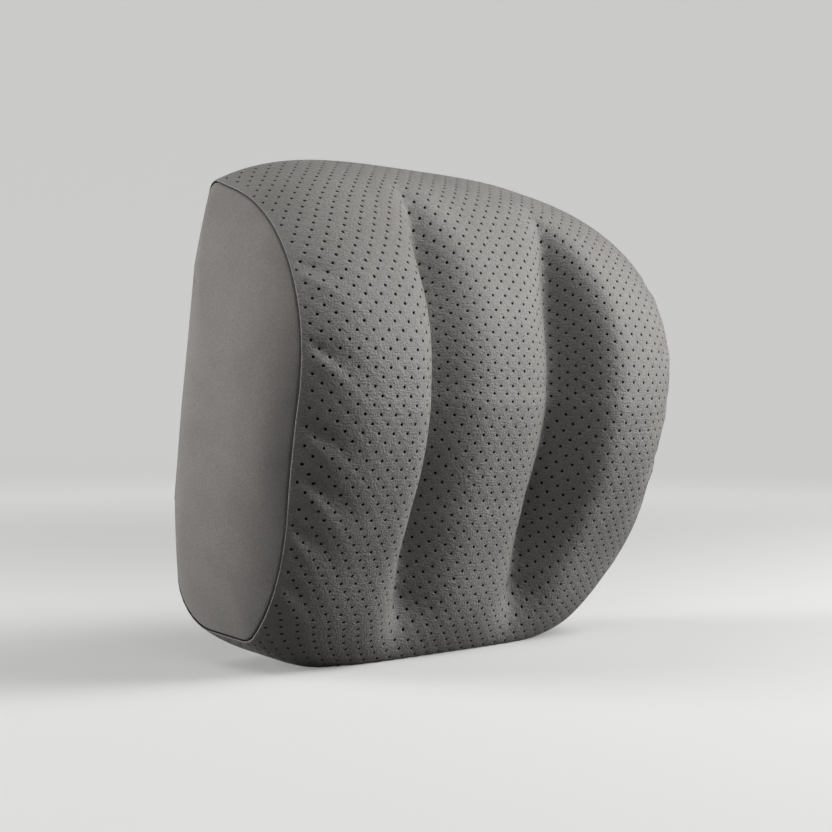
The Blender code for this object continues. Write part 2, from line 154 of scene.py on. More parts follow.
def side_outline():
    """Places and facing angles around the side outline from the top hem, and the lower hem's."""
    corners = [BACK_TOP, FRONT_TOP, FRONT_LOW, FRONT_CORNER, BACK_BOTTOM]
    count = len(corners)
    arcs = [corner_arc(corners[k - 1], corners[k], corners[(k + 1) % count]) for k in range(count)]
    spots, turns = [], []
    for k in range(count):
        radius = corners[k][2]
        start, end = arcs[k][1:]
        for turn in np.linspace(start, end, max(9, round(radius * (end - start) / OUTLINE_STEP))):
            spots.append(arc_point(arcs[k], radius, turn))
            turns.append(turn)
        lower_hem = len(spots) - 1
        goal = arc_point(arcs[(k + 1) % count], corners[(k + 1) % count][2], arcs[(k + 1) % count][1])
        here = spots[-1]
        for share in np.linspace(0, 1, max(3, round(math.dist(here, goal) / OUTLINE_STEP)))[1:-1]:
            spots.append(here + (goal - here) * share)
            turns.append(end)
    spots.append(spots[0])
    turns.append(turns[0])
    spots, turns = np.array(spots), np.unwrap(np.array(turns))
    run = np.concatenate([[0.0], np.cumsum(np.hypot(*np.diff(spots, axis=0).T))])
    even = np.linspace(0.0, run[-1], round(run[-1] / OUTLINE_STEP))
    spots = np.stack([np.interp(even, run, spots[:, k]) for k in (0, 1)], axis=1)
    turns = np.interp(even, run, turns)
    reach = round(3 * EASE_REACH / OUTLINE_STEP)
    weights = np.exp(-0.5 * (np.arange(-reach, reach + 1) * OUTLINE_STEP / EASE_REACH) ** 2)
    eased = np.convolve(np.pad(turns, reach, mode="edge"), weights / weights.sum(), mode="valid")
    hem = run[lower_hem]
    amount = clamp(even / EASE_START) * clamp((hem - even) / EASE_START)
    return even, spots, turns + (eased - turns) * amount, hem


outline_run, outline_spots, outline_turns, lower_hem = side_outline()
UPWARD = np.array(BACK_TOP[:2]) - np.array(BACK_BOTTOM[:2])
UPWARD = UPWARD / np.hypot(*UPWARD)
OUTWARD = np.array([UPWARD[1], -UPWARD[0]])


def seam_x(spot):
    """Half width of the pillow at a place in the side outline: bowed, less so at the back."""
    away = (spot[..., 1] - WIDE_HEIGHT) / BOW_SPAN
    bowed = HALF_WIDTH - WIDTH_BOW * away * away
    ahead = (np.array(BACK_BOTTOM[:2]) - spot) @ OUTWARD
    return bowed - np.maximum(bowed - BACK_HALF_WIDTH, 0.0) * ease(1 - ahead / BACK_BLEND)


def lobe_rise(share):
    """Rise from a valley (0) to the top of a lobe (1), round on top."""
    softened = np.hypot(clamp(share), VALLEY_FILLET) - VALLEY_FILLET
    return 1 - (1 - softened / (math.hypot(1.0, VALLEY_FILLET) - VALLEY_FILLET)) ** LOBE_ROUND


def pucker(across, height):
    """How deep the puckers at the side seams draw the cover in."""
    drawn = np.zeros_like(across)
    for side, puckers in ((-1, PUCKERS_LEFT), (1, PUCKERS_RIGHT)):
        inward = np.maximum(HALF_WIDTH - side * across, 0.0)
        for middle, depth, slope, length in puckers:
            share = inward / length
            along = ease(share * PUCKER_START) * np.exp(-PUCKER_FADE * share ** 2)
            width = PUCKER_WIDTH + PUCKER_SPREAD * inward
            off = (height - middle + slope * inward) / width
            lip = LIP_RISE * np.exp(-((off + LIP_DROP) / LIP_WIDTH) ** 2)
            drawn += depth * along * (np.exp(-off * off) - lip)
    return drawn


def crown(across, spot, turn):
    """How far the cover stands off the side outline, across the pillow."""
    facing = np.stack([np.cos(turn), np.sin(turn)], axis=-1)
    backward, rising = facing @ OUTWARD, facing @ UPWARD
    forward = np.maximum(-backward, 0.0)
    back = np.maximum(backward, 0.0) ** 2
    front = forward ** 2
    for height, swell, reach in SWELLS:
        front = front * (1 + swell / FRONT_CROWN * np.exp(-((spot[..., 1] - height) / reach) ** 2))
    top = np.maximum(rising, 0.0) ** 2
    bottom = np.maximum(-rising, 0.0) ** BASE_FULLNESS
    out = np.abs(across)
    wrap = 1 - (out / HALF_WIDTH) ** WRAP_FULLNESS
    tuck = 1 - (1 - clamp((HALF_WIDTH - out) / (HALF_WIDTH - CREST_X))) ** SEAM_TUCK
    flat = 1 - clamp((out - BACK_FLAT) / (HALF_WIDTH - BACK_FLAT)) ** 2
    rise = (TOP_CROWN * top + BOTTOM_CROWN * bottom) * wrap
    rise += FRONT_CROWN * front * tuck + BACK_CROWN * back * flat
    above_floor = spot[..., 1] + np.sin(turn) * rise - BASE_FLAT
    left, right = (ease((forward - start) / (full - start)) for start, full in VALLEY_TOPS)
    foot_depth, height = VALLEY_RUNOUT
    rightward = ease(0.5 + 0.5 * across / VALLEY_X)
    share = np.where(rising > 0, left + (right - left) * rightward,
                     forward * ease(above_floor / VALLEY_FOOT))
    share = share * (foot_depth + (1 - foot_depth) * ease(above_floor / height))
    middle_share = share * np.where(rising > 0, 1.0, ease(above_floor / MIDDLE_FOOT))
    narrow = VALLEY_NARROW + (1 - VALLEY_NARROW) * np.where(rising > 0, share, 1.0)
    to_middle = (VALLEY_X - out) / VALLEY_X
    inner = share * VALLEY_DEPTH * (1 - lobe_rise(to_middle / narrow))
    inner += middle_share * MIDDLE_DROP * lobe_rise(to_middle)
    to_crest = (out - VALLEY_X) / (CREST_X - VALLEY_X)
    outer = share * VALLEY_DEPTH * (1 - lobe_rise(to_crest / narrow))
    rise -= np.where(out < VALLEY_X, inner, outer)
    return rise - forward * pucker(across, spot[..., 1])


def surface(across, run):
    """Points on the pillow: across it, and this far along the side outline."""
    spot = np.stack([np.interp(run, outline_run, outline_spots[:, k]) for k in (0, 1)], axis=-1)
    turn = np.interp(run, outline_run, outline_turns)
    off = crown(across, spot, turn)
    y = spot[..., 0] + np.cos(turn) * off
    z = np.maximum(spot[..., 1] + np.sin(turn) * off - BASE_FLAT, 0.0)
    return np.stack([across / HALF_WIDTH * seam_x(spot), y, z], axis=-1)


# The sheet is measured flat: along it from the top hem, over the top of a side lobe, and
# across it from its middle line.
crest_line = surface(np.full_like(outline_run, CREST_X), outline_run)
sheet_run = np.concatenate([[0.0], np.cumsum(np.linalg.norm(np.diff(crest_line, axis=0), axis=1))])
sheet_length = float(np.interp(lower_hem, outline_run, sheet_run))
half_across = np.linspace(0.0, HALF_WIDTH, ACROSS_STEPS)
half_rows = surface(*np.meshgrid(half_across, outline_run))
half_spans = np.linalg.norm(np.diff(half_rows, axis=1), axis=2)
half_spans = np.concatenate([np.zeros((len(outline_run), 1)), np.cumsum(half_spans, axis=1)], axis=1)
sheet_half = half_spans[:, -1]
even_across = np.linspace(0.0, sheet_half.max(), SHEET_STEPS)
across_table = np.array([np.interp(even_across, row, half_across) for row in half_spans])


def half_sheet(along):
    """Half width of the flat sheet, this far along it."""
    return np.interp(along, sheet_run, sheet_half)


def lay(flat):
    """Places points of the flat sheet (across, along, height above it) on the pillow."""
    def place(across, along):
        row = np.interp(along, sheet_run, np.arange(len(outline_run)))
        low = np.minimum(row.astype(int), len(outline_run) - 2)
        column = np.abs(across) / even_across[1]
        left = np.minimum(column.astype(int), len(even_across) - 2)
        down, right = row - low, column - left
        upper = across_table[low, left] * (1 - right) + across_table[low, left + 1] * right
        lower = across_table[low + 1, left] * (1 - right) + across_table[low + 1, left + 1] * right
        return surface(np.sign(across) * (upper * (1 - down) + lower * down),
                       np.interp(along, sheet_run, outline_run))
    across, along, height = flat.T
    nudge = OUTLINE_STEP
    inside = np.clip(across, nudge - half_sheet(along), half_sheet(along) - nudge)
    over = place(inside + nudge, along) - place(inside - nudge, along)
    ahead = place(inside, along + nudge) - place(inside, along - nudge)
    out = np.cross(ahead, over)
    out /= np.linalg.norm(out, axis=1)[:, None]
    return place(across, along) + out * height[:, None]


def room(place):
    """How far inside the nearest edge of the flat sheet a place lies."""
    return min(place.y, sheet_length - place.y, float(half_sheet(place.y)) - abs(place.x))


def punched_sheet():
    """The flat sheet: a turned grid with a hole in each cell, trimmed to the seams."""
    side = HOLE_PITCH / math.sqrt(2)
    cells = math.ceil((2 * sheet_half.max() + sheet_length) / math.sqrt(2) / side) + 2
    bm = bmesh.new()
    bmesh.ops.create_grid(bm, x_segments=cells, y_segments=cells, size=cells * side / 2)
    turn = Matrix.Rotation(math.radians(45), 3, "Z")
    bmesh.ops.rotate(bm, verts=bm.verts, cent=(0, 0, 0), matrix=turn)
    bmesh.ops.translate(bm, verts=bm.verts, vec=(0, sheet_length / 2, 0))
    spare = [face for face in bm.faces if room(face.calc_center_median()) < -side]
    bmesh.ops.delete(bm, geom=spare, context="FACES")
    bmesh.ops.subdivide_edges(bm, edges=bm.edges[:], cuts=1)
    whole = TURNED_EDGE[0][0] + HOLE_RADIUS + HOLE_RIM + HOLE_MARGIN
    holes = [face for face in bm.faces if room(face.calc_center_bounds()) > whole]
    bmesh.ops.inset_individual(bm, faces=holes, thickness=side / 4)
    for hole in holes:
        middle = hole.calc_center_bounds()
        for vert in hole.verts:
            vert.co = middle + (vert.co - middle).normalized() * (HOLE_RADIUS + HOLE_RIM)
    bmesh.ops.inset_individual(bm, faces=holes, thickness=HOLE_RIM, depth=-RIM_DROP)
    walls = bmesh.ops.inset_individual(bm, faces=holes, thickness=HOLE_TAPER, depth=-HOLE_DEPTH)
    # Hole walls and floors take the second material, a near-black painted shade for the shade deep in
    # each hole.
    for face in walls["faces"] + holes:
        face.material_index = 1
    # The seams bow, so the sheet is trimmed while its half width is stretched to 1.
    trim = TURNED_EDGE[0][0]
    halves = half_sheet(np.array([vert.co.y for vert in bm.verts])) - trim
    for vert, half in zip(bm.verts, halves):
        vert.co.x /= half
    for spot, out in (((1, 0, 0), (1, 0, 0)), ((-1, 0, 0), (-1, 0, 0)),
                      ((0, trim, 0), (0, -1, 0)), ((0, sheet_length - trim, 0), (0, 1, 0))):
        geom = bm.verts[:] + bm.edges[:] + bm.faces[:]
        bmesh.ops.bisect_plane(bm, geom=geom, dist=1e-6, plane_co=spot, plane_no=out, clear_outer=True)
    halves = half_sheet(np.array([vert.co.y for vert in bm.verts])) - trim
    for vert, half in zip(bm.verts, halves):
        vert.co.x *= half
    bmesh.ops.remove_doubles(bm, verts=bm.verts, dist=MERGE_REACH)
    return bm


def turn_edges(bm, low, high, profile=TURNED_EDGE, dark_depth=1.0):
    """Turns a sheet's four edges in. Past dark_depth they show the second material, on the cover the
    painted shade in its seam cracks.
    """
    trim = profile[0][0]
    for axis in (0, 1):
        for way in (-1, 1):
            def at_edge(vert):
                if axis == 0:
                    return way * vert.co.x > float(half_sheet(vert.co.y)) - trim - EDGE_REACH
                return way * (vert.co.y - (low, high)[way > 0]) > -trim - EDGE_REACH
            edges = [edge for edge in bm.edges
                     if len(edge.link_faces) == 1 and all(at_edge(vert) for vert in edge.verts)]
            for before, step in zip(profile, profile[1:]):
                made = bmesh.ops.extrude_edge_only(bm, edges=edges)["geom"]
                for face in (item for item in made if isinstance(item, bmesh.types.BMFace)):
                    face.material_index = int(step[1] > dark_depth)
                edges = [item for item in made if isinstance(item, bmesh.types.BMEdge)]
                for vert in {vert for edge in edges for vert in edge.verts}:
                    vert.co[axis] += way * (before[0] - step[0])
                    vert.co.z = min(vert.co.z, -step[1])
    return bm


def face_way(bm, way):
    """Turns all faces to one side of their sheet, the side that looks this way on the whole."""
    bmesh.ops.recalc_face_normals(bm, faces=bm.faces)
    if sum(face.normal.dot(way) for face in bm.faces) < 0:
        bmesh.ops.reverse_faces(bm, faces=bm.faces)


def new_object(name, bm, *materials):
    mesh = bpy.data.meshes.new(name)
    bm.to_mesh(mesh)
    bm.free()
    for material in materials:
        mesh.materials.append(material)
    mesh.shade_smooth()
    made = bpy.data.objects.new(name, mesh)
    bpy.context.scene.collection.objects.link(made)
    return made


def finish_sheet(name, bm, *materials):
    """Lays a flat sheet on the pillow as a piece, with its faces out."""
    face_way(bm, (0, 0, -1))
    piece = new_object(name, bm, *materials)
    flat = np.empty(len(piece.data.vertices) * 3)
    piece.data.vertices.foreach_get("co", flat)
    piece.data.vertices.foreach_set("co", lay(flat.reshape(-1, 3)).ravel())
    piece.data.update()
    return piece


def put(tree, kind, inputs=(), **settings):
    """Adds a node with these settings, and links or sets its inputs."""
    node = tree.nodes.new(kind)
    for key, value in settings.items():
        setattr(node, key, value)
    for key, value in dict(inputs).items():
        if isinstance(value, bpy.types.NodeSocket):
            tree.links.new(value, node.inputs[key])
        else:
            node.inputs[key].default_value = value
    return node


def maths(tree, operation, *values):
    return put(tree, "ShaderNodeMath", dict(enumerate(values)), operation=operation).outputs[0]


def remap(tree, value, start, end, low=0.0, high=1.0, **settings):
    """Maps a value from one range to another."""
    given = {"Value": value, "From Min": start, "From Max": end, "To Min": low, "To Max": high}
    return put(tree, "ShaderNodeMapRange", given, **settings).outputs[0]


def new_group(name, inputs, outputs):
    """A shader node group with named float inputs (with defaults), a Vector, and outputs."""
    tree = bpy.data.node_groups.new(name, "ShaderNodeTree")
    tree.interface.new_socket("Vector", in_out="INPUT", socket_type="NodeSocketVector")
    for label, value in inputs.items():
        socket = tree.interface.new_socket(label, in_out="INPUT", socket_type="NodeSocketFloat")
        socket.default_value = value
    for label in outputs:
        tree.interface.new_socket(label, in_out="OUTPUT", socket_type="NodeSocketFloat")
    return tree, tree.nodes.new("NodeGroupInput").outputs, tree.nodes.new("NodeGroupOutput")


def grain_group():
    """Fine grain for leather, suede and foam: a height, and a shade that drifts slowly."""
    tree, given, out = new_group("soft_grain", {"Scale": 1000.0, "Pebble": 0.5, "Drift": 20.0},
                                 ("Height", "Shade"))
    fine = put(tree, "ShaderNodeTexNoise", {"Vector": given["Vector"], "Scale": given["Scale"],
                                            "Detail": 4.0, "Roughness": 0.65})
    cells = put(tree, "ShaderNodeTexVoronoi", {"Vector": given["Vector"], "Scale": given["Scale"]},
                feature="SMOOTH_F1")
    mixed = put(tree, "ShaderNodeMix", {"Factor": given["Pebble"], 2: fine.outputs["Fac"],
                                        3: cells.outputs["Distance"]}, data_type="FLOAT")
    slow = put(tree, "ShaderNodeTexNoise", {"Vector": given["Vector"], "Scale": given["Drift"],
                                            "Detail": 3.0, "Roughness": 0.55})
    tree.links.new(mixed.outputs[0], out.inputs["Height"])
    tree.links.new(slow.outputs["Fac"], out.inputs["Shade"])
    return tree


soft_grain = grain_group()


def new_material(name, roughness, **fixed):
    """A Principled material with an Object coordinate; fixed values go on its own sockets."""
    material = bpy.data.materials.new(name)
    material.use_nodes = True
    shader = material.node_tree.nodes["Principled BSDF"]
    shader.inputs["Roughness"].default_value = roughness
    for key, value in fixed.items():
        shader.inputs[key.replace("_", " ")].default_value = value
    where = put(material.node_tree, "ShaderNodeTexCoord").outputs["Object"]
    return material, material.node_tree, shader, where


def add_group(tree, group, where, **inputs):
    node = put(tree, "ShaderNodeGroup", node_tree=group)
    tree.links.new(where, node.inputs["Vector"])
    for key, value in inputs.items():
        node.inputs[key].default_value = value
    return node


def tint(tree, shader, mask, low, high, start=0.3, end=0.7):
    """Base colour between two colours, by a mask from start to end."""
    share = remap(tree, mask, start, end)
    mixed = put(tree, "ShaderNodeMix", {"Factor": share, 6: (*low, 1.0), 7: (*high, 1.0)},
                data_type="RGBA")
    tree.links.new(mixed.outputs[2], shader.inputs["Base Color"])
    return mixed.outputs[2]


def bump(tree, shader, height, distance, strength=1.0, under=None):
    node = put(tree, "ShaderNodeBump", {"Height": height, "Distance": distance, "Strength": strength})
    if under:
        tree.links.new(under, node.inputs["Normal"])
    tree.links.new(node.outputs[0], shader.inputs["Normal"])
    return node.outputs[0]


def speckle(tree, shader, colour, height, depth):
    """Lightens and darkens a colour by this share, speck by speck."""
    specks = remap(tree, height, 0.3, 0.7, 1 - depth, 1 + depth)
    shaded = put(tree, "ShaderNodeVectorMath", {0: colour, 1: specks}, operation="MULTIPLY")
    tree.links.new(shaded.outputs[0], shader.inputs["Base Color"])


leather, tree, shader, where = new_material("perforated_leather", 0.58, Sheen_Weight=0.06,
                                            Sheen_Roughness=0.5, Specular_IOR_Level=0.42)
grain = add_group(tree, soft_grain, where, Scale=1150.0, Pebble=0.55, Drift=26.0)
hide = tint(tree, shader, grain.outputs["Shade"], (0.208, 0.199, 0.188), (0.244, 0.235, 0.223))
speckle(tree, shader, hide, grain.outputs["Height"], 0.14)
stretched = put(tree, "ShaderNodeMapping", {"Vector": where, "Rotation": (0.0, 0.6, 0.0),
                                            "Scale": (260.0, 260.0, 1500.0)})
creases = put(tree, "ShaderNodeTexNoise", {"Vector": stretched.outputs[0], "Scale": 1.0, "Detail": 3.0})
relief = bump(tree, shader, creases.outputs["Fac"], 0.0003)
bump(tree, shader, grain.outputs["Height"], 0.00042, under=relief)

# Near-black painted shade: the punched holes' walls and floors and the deep turns of the side seams take
# it in place of the shade that falls there.
painted_shade, tree, shader, where = new_material("painted_shade", 0.9, Specular_IOR_Level=0.2)
grain = add_group(tree, soft_grain, where, Scale=900.0, Pebble=0.3, Drift=300.0)
tint(tree, shader, grain.outputs["Shade"], (0.01, 0.009, 0.008), (0.022, 0.02, 0.018))

# Deep in the side seams the cover's turned edges take the painted shade, darkening the seam cracks.
sheet = turn_edges(punched_sheet(), 0.0, sheet_length, dark_depth=PAINTED_SHADE_DEPTH)
cover = finish_sheet("perforated_cover", sheet, leather, painted_shade)
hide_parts("front_cover")
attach(cover, "pillow")


# Side panels. Each is one piece of suede microfibre, cut to the side outline and sewn into the
# cover's turned edge. The foam pushes it out into a low dome.

SIDE_DOME = 0.009
SIDE_RECESS = 0.0003
PANEL_INSET = 0.0006  # where the panel comes out of the seam, in from the cover's face
SEAM_DIP = 0.003  # how deep the panel dives into the seam
SEAM_DIP_REACH = 0.00024
DOME_FULLNESS = 3.6
RING_DISTANCES = (0.0, 0.0001, 0.00021, 0.00034, 0.0005, 0.00072, 0.001, 0.0014, 0.0021, 0.003,
                  0.0044, 0.0064, 0.0092)
DOME_RINGS = 20
RING_STEP = 0.002
RING_ROUNDING = 0.045  # of the way around, over which the inner rings are rounded
CORNERED = (0.35, 0.97)  # shares of the way out between which the rings take the outline's corners
PUCKER_SHARE = 0.22  # how deep the cover's puckers go on in a panel, how high and how far
PUCKER_HEIGHT = 0.0055
PUCKER_REACH = 0.6

suede, tree, shader, where = new_material("suede", 0.92, Sheen_Weight=0.25, Sheen_Roughness=0.45,
                                          Specular_IOR_Level=0.15)
nap = add_group(tree, soft_grain, where, Scale=1500.0, Pebble=0.15, Drift=42.0)
low_nap = tint(tree, shader, nap.outputs["Shade"], (0.196, 0.184, 0.174), (0.23, 0.217, 0.206))
speckle(tree, shader, low_nap, nap.outputs["Height"], 0.2)
bump(tree, shader, nap.outputs["Height"], 0.0003)


def join_rings(bm, one, other):
    for k in range(len(one)):
        after = (k + 1) % len(one)
        bm.faces.new((one[k], one[after], other[after], other[k]))


def close_ring(bm, ring, tip):
    for k in range(len(ring)):
        bm.faces.new((ring[k], ring[(k + 1) % len(ring)], tip))


def side_panel(name, node, side):
    """One side panel, in rings from inside its seam to the middle of its dome."""
    runs = np.arange(0.0, outline_run[-1], RING_STEP)
    edge = surface(np.full_like(runs, HALF_WIDTH), runs)
    turn = np.interp(runs, outline_run, outline_turns)
    ring = edge[:, 1:] - np.stack([np.cos(turn), np.sin(turn)], axis=1) * PANEL_INSET
    middle = ring.mean(axis=0)
    reach = np.linalg.norm(ring - middle, axis=1)
    # Further in, the rings lose the outline's corners.
    count = len(runs)
    steps = np.arange(count)
    near = np.minimum(steps, count - steps) / (RING_ROUNDING * count)
    weights = np.fft.rfft(np.exp(-0.5 * near * near))
    rounded_reach = np.fft.irfft(np.fft.rfft(reach) * weights / weights[0], count)
    shares = [1 - distance / reach for distance in RING_DISTANCES]
    last = shares[-1]
    shares += [last * (1 - step / DOME_RINGS) for step in range(1, DOME_RINGS)]
    bm = bmesh.new()
    rows = []
    puckers = PUCKERS_LEFT if side < 0 else PUCKERS_RIGHT
    for share in shares:
        cornered = ease((share - CORNERED[0]) / (CORNERED[1] - CORNERED[0]))
        length = share * (reach * cornered + rounded_reach * (1 - cornered))
        spot = middle + (ring - middle) * (length / reach)[:, None]
        inward = reach * (1 - share)
        bulge = SIDE_DOME * (1 - share ** DOME_FULLNESS) - SIDE_RECESS
        bulge -= SEAM_DIP * np.exp(-inward / SEAM_DIP_REACH)
        front = clamp(-np.cos(turn))
        for height, depth, _, pucker_length in puckers:
            off = (spot[:, 1] + BASE_FLAT - height) / PUCKER_HEIGHT
            fade = np.exp(-off * off - inward / (PUCKER_REACH * pucker_length))
            bulge -= PUCKER_SHARE * depth * front * fade
        x = side * (seam_x(spot + (0.0, BASE_FLAT)) + bulge)
        rows.append([bm.verts.new(point) for point in np.column_stack([x, spot])])
    tip_x = seam_x(middle + (0.0, BASE_FLAT)) + SIDE_DOME - SIDE_RECESS
    tip = bm.verts.new((side * tip_x, *middle))
    for outer, inner in zip(rows, rows[1:]):
        join_rings(bm, outer, inner)
    close_ring(bm, rows[-1], tip)
    face_way(bm, (side, 0, 0))
    panel = new_object(name, bm, suede)
    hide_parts(node)
    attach(panel, "pillow")


side_panel("suede_panel_left", "left_side_panel", -1)
side_panel("suede_panel_right", "right_side_panel", 1)


# Back panels. Two sheets of thin warp-knitted polyester, sewn into both side seams and to the
# hems of the cover. Their edges at the zip are folded under and topstitched.

ZIP_HEIGHT = 0.056  # up the back from the bottom corner
HALF_OPENING = 0.0033  # between the zip's middle and the edge of a back panel
PANEL_CELL = 0.005  # mesh of the panels
# Folded edge, in steps: distance in from the edge, and depth
FOLDED_EDGE = ((0.0009, 0.0), (0.00045, 0.00008), (0.00015, 0.00028), (0.0, 0.00062),
               (0.00012, 0.00098), (0.0006, 0.00115))
OPENING_END = 0.0968  # from the middle, where the panels begin to close over the zip's end
OPENING_CLOSE = 0.005  # length over which they close
CLOSE_REACH = 0.03  # how far up or down a panel that draws its fabric
CLOSED_GAP = 0.0001  # left between a closed edge and the zip's middle
STITCH_LENGTH = 0.0027
STITCH_PITCH = 0.0036
STITCH_RADIUS = 0.00022
STITCH_INSET = 0.0022  # from a panel's edge to its stitching
STITCH_END = 0.006  # from a side seam to the first stitch
STITCH_SEGMENTS = 6
STITCH_SHARES = (-0.5, -0.36, 0.0, 0.36, 0.5)  # of its length, where a stitch has a ring
STITCH_LIFT = 0.9  # of its radius, how high it lies, and how fast its ends dip in
STITCH_DIP = 7.0
STITCH_LEVEL = 0.3
KNIT_COLUMNS = 850.0  # columns of stitches in a metre

hem_spot = np.array([np.interp(lower_hem, outline_run, outline_spots[:, k]) for k in (0, 1)])
hem_height = float((hem_spot - np.array(BACK_BOTTOM[:2])) @ UPWARD)


def up_back(height):
    """Where a height up the back lies along the sheet's measure."""
    return sheet_length + height - hem_height


def knit_group():
    """Columns of V-shaped stitches over X and Z."""
    tree, given, out = new_group("knitted", {"Columns": 850.0, "Slant": 0.55}, ("Height",))
    axes = put(tree, "ShaderNodeSeparateXYZ", {"Vector": given["Vector"]}).outputs
    slope = maths(tree, "PINGPONG", maths(tree, "MULTIPLY", axes["X"], given["Columns"]), 0.5)
    leant = maths(tree, "MULTIPLY", slope, given["Slant"])
    course = maths(tree, "MULTIPLY_ADD", axes["Z"], given["Columns"], leant)
    rib = maths(tree, "MULTIPLY", slope, maths(tree, "PINGPONG", course, 0.5))
    tree.links.new(maths(tree, "MULTIPLY", rib, 4.0), out.inputs["Height"])
    return tree


knitted = knit_group()
knit, tree, shader, where = new_material("knit", 0.85, Sheen_Weight=0.15, Specular_IOR_Level=0.25)
loops = add_group(tree, knitted, where, Columns=KNIT_COLUMNS)
fuzz = add_group(tree, soft_grain, where, Scale=2200.0, Pebble=0.0, Drift=30.0)
tint(tree, shader, loops.outputs["Height"], (0.03, 0.0285, 0.027), (0.078, 0.074, 0.07), 0.0, 0.8)
relief = bump(tree, shader, loops.outputs["Height"], 0.0004)
bump(tree, shader, fuzz.outputs["Height"], 0.0001, under=relief)

thread, tree, shader, where = new_material("thread", 0.6, Sheen_Weight=0.2, Specular_IOR_Level=0.4)
strands = put(tree, "ShaderNodeTexWave", {"Vector": where, "Scale": 500.0, "Distortion": 0.5},
              bands_direction="DIAGONAL")
tint(tree, shader, strands.outputs["Fac"], (0.055, 0.052, 0.049), (0.095, 0.09, 0.085))
bump(tree, shader, strands.outputs["Fac"], 0.00008)


def flat_grid(low, high, columns, rows, profile):
    """A flat grid between two places along the sheet, from seam to seam, inside its edge."""
    bm = bmesh.new()
    bmesh.ops.create_grid(bm, x_segments=columns, y_segments=rows, size=0.5)
    trim = profile[0][0]
    along = low + trim + (np.array([vert.co.y for vert in bm.verts]) + 0.5) * (high - low - 2 * trim)
    halves = half_sheet(along) - trim
    for vert, place, half in zip(bm.verts, along, halves):
        vert.co = (2 * vert.co.x * half, place, 0.0)
    return bm


def add_stitches(bm, along):
    """A row of stitches across a panel: short rounded threads that dip in at both ends."""
    reach = float(half_sheet(along)) - STITCH_END
    count = int(2 * reach / STITCH_PITCH)
    for k in range(count + 1):
        middle = (k - count / 2) * STITCH_PITCH
        rings = []
        for share in STITCH_SHARES:
            lift = STITCH_RADIUS * (STITCH_LIFT - STITCH_DIP * max(abs(share) - STITCH_LEVEL, 0.0))
            ring = []
            for turn in range(STITCH_SEGMENTS):
                angle = math.tau * turn / STITCH_SEGMENTS
                ring.append(bm.verts.new((middle + share * STITCH_LENGTH,
                                          along + STITCH_RADIUS * math.cos(angle),
                                          lift + STITCH_RADIUS * math.sin(angle))))
            rings.append(ring)
        bm.faces.new(rings[0])
        bm.faces.new(rings[-1][::-1])
        for ring, after in zip(rings, rings[1:]):
            join_rings(bm, ring, after)


def back_panel(name, node, low, high, stitched, way):
    """One back panel between two places along the sheet, stitched beside the zip."""
    rows = max(4, round((high - low) / PANEL_CELL))
    bm = flat_grid(low, high, round(2 * HALF_WIDTH / PANEL_CELL), rows, FOLDED_EDGE)
    turn_edges(bm, low, high, FOLDED_EDGE)
    zip_edge = high if way > 0 else low
    for vert in bm.verts:
        beyond = ease((abs(vert.co.x) - OPENING_END) / OPENING_CLOSE)
        near = ease(1 - abs(vert.co.y - zip_edge) / CLOSE_REACH)
        vert.co.y += way * (HALF_OPENING - CLOSED_GAP) * float(beyond * near)
    panel = finish_sheet(name, bm, knit)
    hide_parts(node)
    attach(panel, "pillow")
    bm = bmesh.new()
    add_stitches(bm, stitched)
    stitches = finish_sheet(name + "_stitching", bm, thread)
    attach(stitches, "pillow")


zip_low = up_back(ZIP_HEIGHT - HALF_OPENING)
zip_high = up_back(ZIP_HEIGHT + HALF_OPENING)
back_panel("back_knit_lower", "back_panel_lower", sheet_length, zip_low, zip_low - STITCH_INSET, 1)
back_panel("back_knit_upper", "back_panel_upper", zip_high, float(sheet_run[-1]),
           zip_high + STITCH_INSET, -1)


# Zip. Two woven tapes sewn behind the back panels, each with a coil of nylon thread sewn along
# its edge, a strip of knit behind both, and a die-cast slider and pull. Steel crimps end the
# slider's run.

TAPE_INNER = 0.00036
TAPE_OUTER = 0.0153
TAPE_DEPTH = 0.0016
TAPE_EDGE = ((0.0004, 0.0), (0.0001, 0.00008), (0.0, 0.00025), (0.0001, 0.00042))
TAPE_COLUMNS = 96
TAPE_ROWS = 6
GUARD_HALF = 0.011  # half width of the strip of knit behind the zip
GUARD_DEPTH = 0.0039
ZIP_HALF = 0.095
COIL_PITCH = 0.00127
COIL_INNER = 0.00038  # from the zip's middle to the heads of the teeth
COIL_OUTER = 0.003
COIL_THICK = 0.0012
COIL_WIRE = 0.00023
COIL_SEGMENTS = 10
COIL_LEAN = 0.16  # of the pitch, how far the thread leans back at its heels
COIL_END = 0.001  # from a coil's last tooth to the end of the zip
WIRE_SEGMENTS = 5
STOP_LENGTH = 0.002
STOP_RADIUS = 0.0004
STOP_GAP = 0.0006  # half the gap between the two top stops
SLIDER_AT = 0.0872  # from the pillow's middle to the slider at rest, to -X
SLIDER_LENGTH = 0.011
SLIDER_WIDTH = 0.0084
PLATE_THICK = 0.001
FIT_GAP = 0.0003
BACK_THICK = 0.0012
TAPE_THICK = 0.0006
SLIDER_BEVEL = 0.0003
POST_LENGTH = 0.003
POST_WIDTH = 0.0006
POST_INSET = 0.001  # from the slider's wide end
BAIL_LENGTH = 0.008
BAIL_WIDTH = 0.0016
BAIL_THICK = 0.0009
BAIL_FOOT = 0.0004  # how deep its legs go into the plate
PIN = 0.001
PULL_LENGTH = 0.024
PULL_WIDTH = 0.0064
PULL_THICK = 0.0009
WINDOW_LENGTH = 0.0095
GRIP_DEPTH = 0.00012  # of the dish in the pull, and how far its rim slopes
GRIP_SLOPE = 0.00018
METAL_BEVEL = 0.00022

